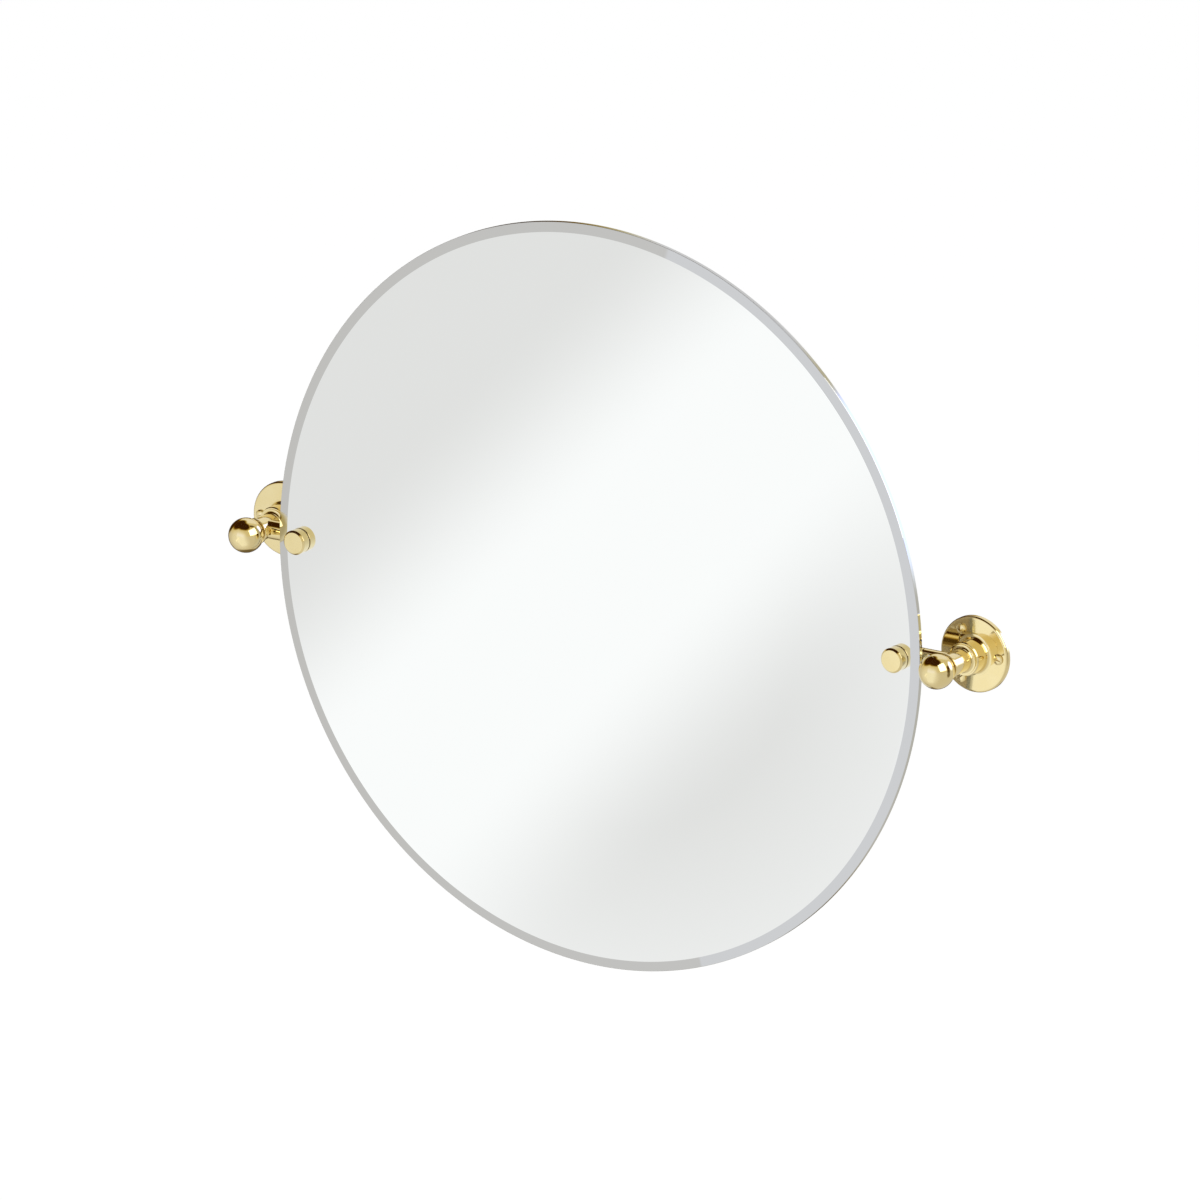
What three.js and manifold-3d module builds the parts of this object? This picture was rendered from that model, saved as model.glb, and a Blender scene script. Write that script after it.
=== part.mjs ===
// Pivot wall mirror: a round bevelled mirror that tilts between two turned wall brackets.
// Millimetres. X runs to the right along the tilt axis, Y runs into the wall, Z is up.
// The origin lies on the wall plane, halfway between the two brackets, at the height of the tilt axis.
// Everything stands in front of the wall, so depths below are distances in front of the wall (minus Y).

import * as THREE from 'three';
import { mergeVertices, toCreasedNormals } from 'three/addons/utils/BufferGeometryUtils.js';
import Module from 'manifold-3d';

// Mirror glass.
const GLASS_DIAMETER = 600;
const GLASS_THICKNESS = 4.8;
const GLASS_FRONT_DEPTH = 45.5;
const BEVEL_WIDTH = 8;
const BEVEL_DROP = 1.1;
const EDGE_ARRIS = 0.3;
const BACKING_THICKNESS = 0.4;
const BACKING_INSET = 3;

// Fixings through the glass.
const STUD_INSET = 20;
const STUD_DIAMETER = 6;
const BUSH_DIAMETER = 9.2;
const BUSH_FLANGE_DIAMETER = 14;
const BUSH_FLANGE_THICKNESS = 1.6;
const BUSH_END_GAP = 0.2;
const KNOB_DIAMETER = 19.9;
const KNOB_HEIGHT = 8.6;
const KNOB_EDGE_ROUND = 1.1;
const KNOB_FOOT_CHAMFER = 0.5;
const KNOB_HOLE_DEPTH = 6.4;
const KNOB_WASHER_DIAMETER = 18.4;
const KNOB_WASHER_THICKNESS = 0.5;

// Brackets.
const BRACKET_REACH = 23.5;
const PLATE_DIAMETER = 60.8;
const PLATE_THICKNESS = 4.9;
const PLATE_RIM_ROUND = 2.1;
const BOSS_DIAMETER = 27;
const BOSS_HEIGHT = 14.9;
const BOSS_COVE_RADIUS = 3.1;
const BOSS_TAPER_HEIGHT = 1.4;
const BOSS_TAPER_INSET = 0.6;
const POST_FOOT_LEDGE = 1.2;
const POST_FOOT_HEIGHT = 0.7;
const POST_COVE_HEIGHT = 2.6;
const NECK_DIAMETER = 18.4;
const COLLAR_STEP = 1.3;
const COLLAR_WIDTH = 2.6;
const COLLAR_CHAMFER = 0.5;
const POST_PAST_AXIS = 12.6;
const BALL_DIAMETER = 27.9;
const BALL_FLAT_DIAMETER = 14.9;

// Tilt axis: the arm, the pivot end behind the glass and the pin that joins them.
const ARM_DIAMETER = 15;
const ARM_LAP = 3;
const SEAM_WIDTH = 0.8;
const SEAM_RECESS = 0.6;
const PIVOT_END_PAST_STUD = 12;
const PIVOT_END_FLAT_CUT = 1.5;
const PIVOT_END_CHAMFER = 1.2;
const PIN_DIAMETER = 6;
const PIN_IN_ARM = 13;
const PIN_TO_STUD_WALL = 3.2;
const STUD_PAST_AXIS = 3.5;

// Screws and spigots.
const WALL_SCREW_COUNT = 3;
const WALL_SCREW_HEAD_DIAMETER = 8.5;
const WALL_SCREW_HEAD_HEIGHT = 2.6;
const WALL_SCREW_SHANK_DIAMETER = 4.4;
const WALL_SCREW_SLOT_WIDTH = 1.1;
const WALL_SCREW_SLOT_DEPTH = 1.2;
const WALL_SCREW_SLOT_TURNS = [12, 75, 140];
const POST_SCREW_DIAMETER = 5;
const POST_SCREW_HEAD_DIAMETER = 10;
const POST_SCREW_HEAD_HEIGHT = 2.6;
const POST_SCREW_SOCKET_DIAMETER = 3.6;
const POST_SCREW_SOCKET_DEPTH = 1.6;
const POST_SCREW_IN_POST = 7.2;
const SPIGOT_DIAMETER = 6;
const SPIGOT_LENGTH = 8;

// Clearances, each on the radius or along the axis of the pieces that it separates.
const RUNNING_CLEARANCE = 0.08;
const THREAD_CLEARANCE = 0.03;
const HOLE_CLEARANCE = 0.15;
const END_CLEARANCE = 0.5;
const SEAM_CLEARANCE = 0.05;

// Facets around each kind of round piece.
const GLASS_SEGMENTS = 160;
const PLATE_SEGMENTS = 48;
const POST_SEGMENTS = 36;
const BALL_SEGMENTS = 36;
const BALL_RINGS = 12;
const SMALL_SEGMENTS = 24;

// Sizes and places that follow from the ones above.
const GLASS_RADIUS = GLASS_DIAMETER / 2;
const GLASS_BACK_DEPTH = GLASS_FRONT_DEPTH - GLASS_THICKNESS;
const BACKING_BACK_DEPTH = GLASS_BACK_DEPTH - BACKING_THICKNESS;
const SEAT_DEPTH = BACKING_BACK_DEPTH - BUSH_FLANGE_THICKNESS;
const AXIS_DEPTH = SEAT_DEPTH - (ARM_DIAMETER / 2 - PIVOT_END_FLAT_CUT);
const STUD_X = GLASS_RADIUS - STUD_INSET;
const BUSH_HOLE_RADIUS = BUSH_DIAMETER / 2 + HOLE_CLEARANCE;
const STUD_HOLE_RADIUS = STUD_DIAMETER / 2 + HOLE_CLEARANCE;
const STUD_THREAD_RADIUS = STUD_DIAMETER / 2 + THREAD_CLEARANCE;
const KNOB_BACK_DEPTH = GLASS_FRONT_DEPTH + KNOB_WASHER_THICKNESS;
const STUD_FRONT_DEPTH = KNOB_BACK_DEPTH + KNOB_HOLE_DEPTH - END_CLEARANCE;
const STUD_BACK_DEPTH = AXIS_DEPTH - STUD_PAST_AXIS;
const POST_X = GLASS_RADIUS + BRACKET_REACH;
const ARM_END = GLASS_RADIUS - ARM_LAP;
const PIVOT_END_FACE = ARM_END - SEAM_WIDTH;
const PIVOT_END_TIP = STUD_X - PIVOT_END_PAST_STUD;
const PIN_INNER_END = STUD_X + STUD_THREAD_RADIUS + PIN_TO_STUD_WALL;
const PIN_OUTER_END = ARM_END + PIN_IN_ARM;
const PLATE_FLAT_RADIUS = PLATE_DIAMETER / 2 - PLATE_RIM_ROUND;
const BOSS_FOOT_RADIUS = BOSS_DIAMETER / 2 + BOSS_COVE_RADIUS;
const BOSS_TOP_RADIUS = BOSS_DIAMETER / 2 - BOSS_TAPER_INSET;
const BOSS_FRONT_DEPTH = PLATE_THICKNESS + BOSS_HEIGHT;
const WALL_SCREW_REACH = (BOSS_FOOT_RADIUS + PLATE_FLAT_RADIUS) / 2;
const WALL_SCREW_HOLE_RADIUS = WALL_SCREW_SHANK_DIAMETER / 2 + HOLE_CLEARANCE;
const POST_SCREW_HOLE_RADIUS = POST_SCREW_DIAMETER / 2 + HOLE_CLEARANCE;
const POST_SCREW_DEPTH = BOSS_FRONT_DEPTH + POST_SCREW_IN_POST;
const POST_FRONT_DEPTH = AXIS_DEPTH + POST_PAST_AXIS;
const COLLAR_BACK_DEPTH = POST_FRONT_DEPTH - COLLAR_WIDTH;
const BALL_CENTRE_DEPTH = POST_FRONT_DEPTH + Math.sqrt((BALL_DIAMETER ** 2 - BALL_FLAT_DIAMETER ** 2) / 4);

const BRASS = { color: 0xc9a85a, roughness: 0.16, metalness: 1.0 };
const STEEL = { color: 0xb9bcc0, roughness: 0.35, metalness: 1.0 };
const MIRROR = { color: 0xe2e5e4, roughness: 0.04, metalness: 1.0 };
const BACKING = { color: 0x8d9296, roughness: 0.75, metalness: 0.0 };
const NYLON = { color: 0xdedbd2, roughness: 0.55, metalness: 0.0 };
const RUBBER = { color: 0x2a2826, roughness: 0.8, metalness: 0.0 };

const wasm = await Module();
wasm.setup();

// Turns a closed three.js geometry into a solid: seam vertices are joined and empty triangles dropped.
function toSolid(geometry) {
  const bare = geometry.clone();
  bare.deleteAttribute('normal');
  bare.deleteAttribute('uv');
  const merged = mergeVertices(bare, 1e-4);
  const index = merged.index.array;
  const triangles = [];
  for (let i = 0; i < index.length; i += 3) {
    const [a, b, c] = [index[i], index[i + 1], index[i + 2]];
    if (a !== b && b !== c && c !== a) {
      triangles.push(a, b, c);
    }
  }
  const mesh = new wasm.Mesh({
    numProp: 3,
    vertProperties: new Float32Array(merged.attributes.position.array),
    triVerts: new Uint32Array(triangles),
  });
  return new wasm.Manifold(mesh);
}

// Turns a solid back into a three.js geometry.
function toGeometry(solid) {
  const mesh = solid.getMesh();
  const geometry = new THREE.BufferGeometry();
  geometry.setAttribute('position', new THREE.BufferAttribute(new Float32Array(mesh.vertProperties), 3));
  geometry.setIndex(new THREE.BufferAttribute(new Uint32Array(mesh.triVerts), 1));
  return toCreasedNormals(geometry, 0.6);
}

function subtractAll(solid, tools) {
  return tools.reduce((body, tool) => body.subtract(tool), solid);
}

// A body turned about a line along Y through x and z.
// The profile lists [radius, depth] pairs from the front of the body to its back.
function turned(profile, x, z, segments) {
  const points = profile.map(([radius, depth]) => new THREE.Vector2(radius, -depth));
  const geometry = new THREE.LatheGeometry(points, segments);
  geometry.translate(x, 0, z);
  return toSolid(geometry);
}

// A round bar along Y between two depths.
function barAlongDepth(radius, backDepth, frontDepth, x, z, segments = SMALL_SEGMENTS) {
  return turned([[0, frontDepth], [radius, frontDepth], [radius, backDepth], [0, backDepth]], x, z, segments);
}

// A body turned about the tilt axis. The profile lists [radius, x] pairs from left to right.
function turnedOnAxis(profile, segments) {
  const points = profile.map(([radius, x]) => new THREE.Vector2(radius, x));
  const geometry = new THREE.LatheGeometry(points, segments);
  geometry.rotateZ(-Math.PI / 2);
  geometry.translate(0, -AXIS_DEPTH, 0);
  return toSolid(geometry);
}

// A round bar on the tilt axis between two distances from the middle, on one side of the mirror.
function barOnAxis(radius, inner, outer, side, segments = SMALL_SEGMENTS) {
  const [low, high] = side > 0 ? [inner, outer] : [-outer, -inner];
  return turnedOnAxis([[0, low], [radius, low], [radius, high], [0, high]], segments);
}

function block(width, depth, height, x, y, z, turn = 0) {
  const geometry = new THREE.BoxGeometry(width, depth, height);
  geometry.rotateY(turn);
  geometry.translate(x, y, z);
  return toSolid(geometry);
}

// Points of a circular arc in [radius, depth] form, from one angle to another, in degrees.
function arc(centreRadius, centreDepth, size, from, to, steps) {
  return Array.from({ length: steps + 1 }, (unused, i) => {
    const angle = THREE.MathUtils.degToRad(from + ((to - from) * i) / steps);
    return [centreRadius + size * Math.cos(angle), centreDepth + size * Math.sin(angle)];
  });
}

const mirror = new THREE.Group();
mirror.name = 'pivot_wall_mirror';

function addPiece(name, solid, finish) {
  const mesh = new THREE.Mesh(toGeometry(solid), new THREE.MeshStandardMaterial(finish));
  mesh.name = name;
  mirror.add(mesh);
}

// Positions of the wall screws of one bracket: the first points away from the mirror.
function wallScrewPlaces(side) {
  return Array.from({ length: WALL_SCREW_COUNT }, (unused, i) => {
    const angle = (2 * Math.PI * i) / WALL_SCREW_COUNT;
    const slotTurn = WALL_SCREW_SLOT_TURNS[i % WALL_SCREW_SLOT_TURNS.length];
    return {
      x: side * (POST_X + WALL_SCREW_REACH * Math.cos(angle)),
      z: WALL_SCREW_REACH * Math.sin(angle),
      turn: THREE.MathUtils.degToRad(side * slotTurn),
    };
  });
}

function mirrorGlass() {
  const bevelFoot = GLASS_FRONT_DEPTH - BEVEL_DROP;
  const disc = turned([
    [0, GLASS_FRONT_DEPTH],
    [GLASS_RADIUS - BEVEL_WIDTH, GLASS_FRONT_DEPTH],
    [GLASS_RADIUS, bevelFoot],
    [GLASS_RADIUS, GLASS_BACK_DEPTH + EDGE_ARRIS],
    [GLASS_RADIUS - EDGE_ARRIS, GLASS_BACK_DEPTH],
    [0, GLASS_BACK_DEPTH],
  ], 0, 0, GLASS_SEGMENTS);
  return subtractAll(disc, glassHoles());
}

function glassHoles() {
  return [-1, 1].map((side) => barAlongDepth(
    BUSH_HOLE_RADIUS,
    BACKING_BACK_DEPTH - 1,
    GLASS_FRONT_DEPTH + 1,
    side * STUD_X,
    0,
  ));
}

function mirrorBacking() {
  const radius = GLASS_RADIUS - BACKING_INSET;
  const sheet = barAlongDepth(radius, BACKING_BACK_DEPTH, GLASS_BACK_DEPTH, 0, 0, GLASS_SEGMENTS);
  return subtractAll(sheet, glassHoles());
}

function wallPlate(side) {
  const radius = PLATE_DIAMETER / 2;
  const rim = arc(PLATE_FLAT_RADIUS, PLATE_THICKNESS - PLATE_RIM_ROUND, PLATE_RIM_ROUND, 90, 0, 3);
  const disc = turned([[0, PLATE_THICKNESS], ...rim, [radius, 0], [0, 0]], side * POST_X, 0, PLATE_SEGMENTS);
  const screwHoles = wallScrewPlaces(side).map(({ x, z }) => barAlongDepth(
    WALL_SCREW_HOLE_RADIUS,
    -1,
    PLATE_THICKNESS + 1,
    x,
    z,
  ));
  return subtractAll(disc, [...screwHoles, postScrewPath(side)]);
}

// The way of the post screw through the plate and the boss, with the cone for its sunk head.
function postScrewPath(side) {
  const headRadius = POST_SCREW_HEAD_DIAMETER / 2 + HOLE_CLEARANCE;
  return turned([
    [0, BOSS_FRONT_DEPTH + 1],
    [POST_SCREW_HOLE_RADIUS, BOSS_FRONT_DEPTH + 1],
    [POST_SCREW_HOLE_RADIUS, POST_SCREW_HEAD_HEIGHT],
    [headRadius, 0],
    [headRadius, -1],
    [0, -1],
  ], side * POST_X, 0, SMALL_SEGMENTS);
}

function boss(side) {
  const radius = BOSS_DIAMETER / 2;
  const taperBack = BOSS_FRONT_DEPTH - BOSS_TAPER_HEIGHT;
  const cove = arc(BOSS_FOOT_RADIUS, PLATE_THICKNESS + BOSS_COVE_RADIUS, BOSS_COVE_RADIUS, 180, 270, 4);
  const body = turned([
    [0, BOSS_FRONT_DEPTH],
    [BOSS_TOP_RADIUS, BOSS_FRONT_DEPTH],
    [radius, taperBack],
    ...cove,
    [0, PLATE_THICKNESS],
  ], side * POST_X, 0, POST_SEGMENTS);
  return body.subtract(postScrewPath(side));
}

function post(side) {
  const neckRadius = NECK_DIAMETER / 2;
  const footRadius = BOSS_TOP_RADIUS - POST_FOOT_LEDGE;
  const collarRadius = neckRadius + COLLAR_STEP;
  const footTop = BOSS_FRONT_DEPTH + POST_FOOT_HEIGHT;
  const coveTop = footTop + POST_COVE_HEIGHT;
  const coveWidth = footRadius - neckRadius;
  const cove = Array.from({ length: 5 }, (unused, i) => {
    const angle = (Math.PI / 2) * (i / 4);
    return [
      footRadius - coveWidth * Math.cos(angle),
      coveTop - POST_COVE_HEIGHT * Math.sin(angle),
    ];
  });
  const shaft = turned([
    [0, POST_FRONT_DEPTH],
    [collarRadius - COLLAR_CHAMFER, POST_FRONT_DEPTH],
    [collarRadius, POST_FRONT_DEPTH - COLLAR_CHAMFER],
    [collarRadius, COLLAR_BACK_DEPTH + COLLAR_CHAMFER],
    [collarRadius - COLLAR_CHAMFER, COLLAR_BACK_DEPTH],
    [neckRadius, COLLAR_BACK_DEPTH],
    ...cove,
    [footRadius, BOSS_FRONT_DEPTH],
    [0, BOSS_FRONT_DEPTH],
  ], side * POST_X, 0, POST_SEGMENTS);
  const arm = barOnAxis(ARM_DIAMETER / 2, ARM_END, POST_X, side, POST_SEGMENTS);
  const pinBore = barOnAxis(
    PIN_DIAMETER / 2 + RUNNING_CLEARANCE,
    ARM_END - 1,
    PIN_OUTER_END + END_CLEARANCE,
    side,
  );
  const screwHole = barAlongDepth(
    POST_SCREW_DIAMETER / 2 + THREAD_CLEARANCE,
    BOSS_FRONT_DEPTH - 1,
    POST_SCREW_DEPTH + END_CLEARANCE,
    side * POST_X,
    0,
  );
  const spigotHole = barAlongDepth(
    SPIGOT_DIAMETER / 2 + THREAD_CLEARANCE,
    POST_FRONT_DEPTH - SPIGOT_LENGTH - END_CLEARANCE,
    POST_FRONT_DEPTH + 1,
    side * POST_X,
    0,
  );
  return subtractAll(shaft.add(arm), [pinBore, screwHole, spigotHole]);
}

// The ball has a flat where it meets the collar and a spigot that screws into the post.
function ballFinial(side) {
  const radius = BALL_DIAMETER / 2;
  const flatAngle = THREE.MathUtils.radToDeg(Math.asin((POST_FRONT_DEPTH - BALL_CENTRE_DEPTH) / radius));
  const spigotRadius = SPIGOT_DIAMETER / 2;
  const spigotEnd = POST_FRONT_DEPTH - SPIGOT_LENGTH;
  const ball = arc(0, BALL_CENTRE_DEPTH, radius, 90, flatAngle, BALL_RINGS);
  ball[0][0] = 0;
  return turned([
    ...ball,
    [spigotRadius, POST_FRONT_DEPTH],
    [spigotRadius, spigotEnd],
    [0, spigotEnd],
  ], side * POST_X, 0, BALL_SEGMENTS);
}

function postScrew(side) {
  const screw = turned([
    [0, POST_SCREW_DEPTH],
    [POST_SCREW_DIAMETER / 2, POST_SCREW_DEPTH],
    [POST_SCREW_DIAMETER / 2, POST_SCREW_HEAD_HEIGHT],
    [POST_SCREW_HEAD_DIAMETER / 2, 0],
    [0, 0],
  ], side * POST_X, 0, SMALL_SEGMENTS);
  const socket = barAlongDepth(
    POST_SCREW_SOCKET_DIAMETER / 2,
    -1,
    POST_SCREW_SOCKET_DEPTH,
    side * POST_X,
    0,
    6,
  );
  return screw.subtract(socket);
}

// A raised round-head screw with one slot. Its shank is shown up to the wall plane.
function wallScrew({ x, z, turn }) {
  const headRadius = WALL_SCREW_HEAD_DIAMETER / 2;
  const height = WALL_SCREW_HEAD_HEIGHT;
  const domeRadius = (headRadius ** 2 + height ** 2) / (2 * height);
  const domeCentre = PLATE_THICKNESS + height - domeRadius;
  const foot = THREE.MathUtils.radToDeg(Math.acos(headRadius / domeRadius));
  const dome = arc(0, domeCentre, domeRadius, 90, foot, 3);
  dome[0][0] = 0;
  const screw = turned([
    ...dome,
    [WALL_SCREW_SHANK_DIAMETER / 2, PLATE_THICKNESS],
    [WALL_SCREW_SHANK_DIAMETER / 2, HOLE_CLEARANCE],
    [0, HOLE_CLEARANCE],
  ], x, z, SMALL_SEGMENTS);
  const top = PLATE_THICKNESS + height;
  const slot = block(
    WALL_SCREW_HEAD_DIAMETER + 2,
    2 * WALL_SCREW_SLOT_DEPTH,
    WALL_SCREW_SLOT_WIDTH,
    x,
    -top,
    z,
    turn,
  );
  return screw.subtract(slot);
}

function frictionWasher(side) {
  const ring = barOnAxis(
    ARM_DIAMETER / 2 - SEAM_RECESS,
    PIVOT_END_FACE + SEAM_CLEARANCE,
    ARM_END,
    side,
    POST_SEGMENTS,
  );
  const hole = barOnAxis(PIN_DIAMETER / 2 + HOLE_CLEARANCE, PIVOT_END_FACE - 1, ARM_END + 1, side);
  return ring.subtract(hole);
}

// The round bar behind the glass, with a flat that the bush sits on.
function pivotEnd(side) {
  const radius = ARM_DIAMETER / 2;
  const chamferEnd = PIVOT_END_TIP + PIVOT_END_CHAMFER;
  const profile = [
    [0, PIVOT_END_TIP],
    [radius - PIVOT_END_CHAMFER, PIVOT_END_TIP],
    [radius, chamferEnd],
    [radius, PIVOT_END_FACE],
    [0, PIVOT_END_FACE],
  ];
  const bar = turnedOnAxis(
    side > 0 ? profile : profile.map(([r, x]) => [r, -x]).reverse(),
    POST_SEGMENTS,
  );
  const length = PIVOT_END_FACE - PIVOT_END_TIP + 2;
  const middle = (PIVOT_END_FACE + PIVOT_END_TIP) / 2;
  const flat = block(length, ARM_DIAMETER, 2 * ARM_DIAMETER, side * middle, -(SEAT_DEPTH + radius), 0);
  const pinHole = barOnAxis(
    PIN_DIAMETER / 2 + THREAD_CLEARANCE,
    PIN_INNER_END - THREAD_CLEARANCE,
    PIVOT_END_FACE + 1,
    side,
  );
  const studHole = barAlongDepth(
    STUD_THREAD_RADIUS,
    STUD_BACK_DEPTH - THREAD_CLEARANCE,
    SEAT_DEPTH + 1,
    side * STUD_X,
    0,
  );
  return subtractAll(bar, [flat, pinHole, studHole]);
}

function pivotPin(side) {
  return barOnAxis(PIN_DIAMETER / 2, PIN_INNER_END, PIN_OUTER_END, side);
}

// Lines the hole in the glass and keeps the pivot end off its back.
function glassBush(side) {
  const body = turned([
    [0, GLASS_FRONT_DEPTH - BUSH_END_GAP],
    [BUSH_DIAMETER / 2, GLASS_FRONT_DEPTH - BUSH_END_GAP],
    [BUSH_DIAMETER / 2, BACKING_BACK_DEPTH],
    [BUSH_FLANGE_DIAMETER / 2, BACKING_BACK_DEPTH],
    [BUSH_FLANGE_DIAMETER / 2, SEAT_DEPTH],
    [0, SEAT_DEPTH],
  ], side * STUD_X, 0, SMALL_SEGMENTS);
  return body.subtract(barAlongDepth(
    STUD_HOLE_RADIUS,
    SEAT_DEPTH - 1,
    GLASS_FRONT_DEPTH + 1,
    side * STUD_X,
    0,
  ));
}

function clampStud(side) {
  return barAlongDepth(STUD_DIAMETER / 2, STUD_BACK_DEPTH, STUD_FRONT_DEPTH, side * STUD_X, 0);
}

function knobWasher(side) {
  const ring = barAlongDepth(
    KNOB_WASHER_DIAMETER / 2,
    GLASS_FRONT_DEPTH,
    KNOB_BACK_DEPTH,
    side * STUD_X,
    0,
    POST_SEGMENTS,
  );
  return ring.subtract(barAlongDepth(
    STUD_HOLE_RADIUS,
    GLASS_FRONT_DEPTH - 1,
    KNOB_BACK_DEPTH + 1,
    side * STUD_X,
    0,
  ));
}

function clampKnob(side) {
  const radius = KNOB_DIAMETER / 2;
  const front = KNOB_BACK_DEPTH + KNOB_HEIGHT;
  const edge = arc(radius - KNOB_EDGE_ROUND, front - KNOB_EDGE_ROUND, KNOB_EDGE_ROUND, 90, 0, 3);
  const body = turned([
    [0, front],
    ...edge,
    [radius, KNOB_BACK_DEPTH + KNOB_FOOT_CHAMFER],
    [radius - KNOB_FOOT_CHAMFER, KNOB_BACK_DEPTH],
    [0, KNOB_BACK_DEPTH],
  ], side * STUD_X, 0, POST_SEGMENTS);
  return body.subtract(barAlongDepth(
    STUD_THREAD_RADIUS,
    KNOB_BACK_DEPTH - 1,
    KNOB_BACK_DEPTH + KNOB_HOLE_DEPTH,
    side * STUD_X,
    0,
  ));
}

addPiece('mirror_glass', mirrorGlass(), MIRROR);
addPiece('mirror_backing', mirrorBacking(), BACKING);

for (const [label, side] of [['left', -1], ['right', 1]]) {
  addPiece(`wall_plate_${label}`, wallPlate(side), BRASS);
  wallScrewPlaces(side).forEach((place, i) => {
    addPiece(`wall_screw_${label}_${i + 1}`, wallScrew(place), BRASS);
  });
  addPiece(`boss_${label}`, boss(side), BRASS);
  addPiece(`post_screw_${label}`, postScrew(side), STEEL);
  addPiece(`post_arm_${label}`, post(side), BRASS);
  addPiece(`ball_finial_${label}`, ballFinial(side), BRASS);
  addPiece(`friction_washer_${label}`, frictionWasher(side), RUBBER);
  addPiece(`pivot_end_${label}`, pivotEnd(side), BRASS);
  addPiece(`pivot_pin_${label}`, pivotPin(side), STEEL);
  addPiece(`glass_bush_${label}`, glassBush(side), NYLON);
  addPiece(`clamp_stud_${label}`, clampStud(side), STEEL);
  addPiece(`knob_washer_${label}`, knobWasher(side), RUBBER);
  addPiece(`clamp_knob_${label}`, clampKnob(side), BRASS);
}

export default mirror;
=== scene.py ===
import math

import bmesh
import bpy
from mathutils import Matrix, Vector


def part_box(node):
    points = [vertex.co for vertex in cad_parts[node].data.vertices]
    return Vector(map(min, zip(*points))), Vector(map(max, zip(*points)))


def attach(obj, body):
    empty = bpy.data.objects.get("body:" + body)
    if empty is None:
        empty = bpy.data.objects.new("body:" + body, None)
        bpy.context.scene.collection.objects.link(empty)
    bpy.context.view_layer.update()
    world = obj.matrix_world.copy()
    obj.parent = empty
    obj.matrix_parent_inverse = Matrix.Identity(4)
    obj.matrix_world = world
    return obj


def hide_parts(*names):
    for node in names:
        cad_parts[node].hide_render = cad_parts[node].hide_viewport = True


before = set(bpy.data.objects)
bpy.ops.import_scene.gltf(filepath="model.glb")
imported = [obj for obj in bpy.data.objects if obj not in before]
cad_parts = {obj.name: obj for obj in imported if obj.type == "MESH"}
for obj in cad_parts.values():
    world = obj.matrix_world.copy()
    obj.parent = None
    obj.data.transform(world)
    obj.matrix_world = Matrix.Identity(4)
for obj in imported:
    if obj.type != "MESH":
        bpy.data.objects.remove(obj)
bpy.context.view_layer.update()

scene = bpy.context.scene
mm = 0.001
sides = (("left", -1), ("right", 1))

# Shared places in millimetres. Depth is the distance in front of the wall, across is along the tilt axis.
layout = {
    "studAcross": 280.0,
    "postAcross": 323.5,
    "axisDepth": 32.7,
    "glassFront": 45.5,
    "glassBack": 40.7,
    "seatDepth": 38.7,
    "armEnd": 297.0,
    "pivotFace": 296.2,
}


def addNode(tree, kind, inputs=None, **settings):
    made = tree.nodes.new(kind)
    for key, value in settings.items():
        setattr(made, key, value)
    for key, value in (inputs or {}).items():
        if isinstance(value, bpy.types.NodeSocket):
            tree.links.new(value, made.inputs[key])
        else:
            made.inputs[key].default_value = value
    return made


def maths(tree, operation, first, second=None, third=None):
    inputs = {i: v for i, v in enumerate((first, second, third)) if v is not None}
    return addNode(tree, "ShaderNodeMath", inputs, operation=operation).outputs[0]


def spread(tree, value, low, high, toLow=0.0, toHigh=1.0, smooth=False):
    inputs = {"Value": value, "From Min": low, "From Max": high, "To Min": toLow, "To Max": toHigh}
    kind = "SMOOTHSTEP" if smooth else "LINEAR"
    return addNode(tree, "ShaderNodeMapRange", inputs, interpolation_type=kind).outputs["Result"]


def blendColours(tree, share, first, second):
    made = addNode(tree, "ShaderNodeMix", data_type="RGBA")
    for socket, value in ((made.inputs[0], share), (made.inputs[6], first), (made.inputs[7], second)):
        if isinstance(value, bpy.types.NodeSocket):
            tree.links.new(value, socket)
        else:
            socket.default_value = value if isinstance(value, float) else (*value, 1.0)
    return made.outputs[2]


def newMaterial(name):
    material = bpy.data.materials.new(name)
    material.use_nodes = True
    tree = material.node_tree
    tree.nodes.clear()
    return material, tree


brass = {
    "bright": (0.94, 0.81, 0.45),
    "deep": (0.90, 0.755, 0.38),
    # Painted shade: the brown that recesses are darkened toward.
    "recessShade": (0.36, 0.21, 0.05),
    "roughness": (0.045, 0.085),
    "coat": 0.6,
    "coatRoughness": 0.03,
    "lineScale": 2600.0,
    "lineDepth": 0.000004,
    "lineStrength": 0.35,
    "lineRoughness": 0.02,
    "cloudScale": 55.0,
    "recessReach": 0.0022,
    "recessShare": 0.6,
}
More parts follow.
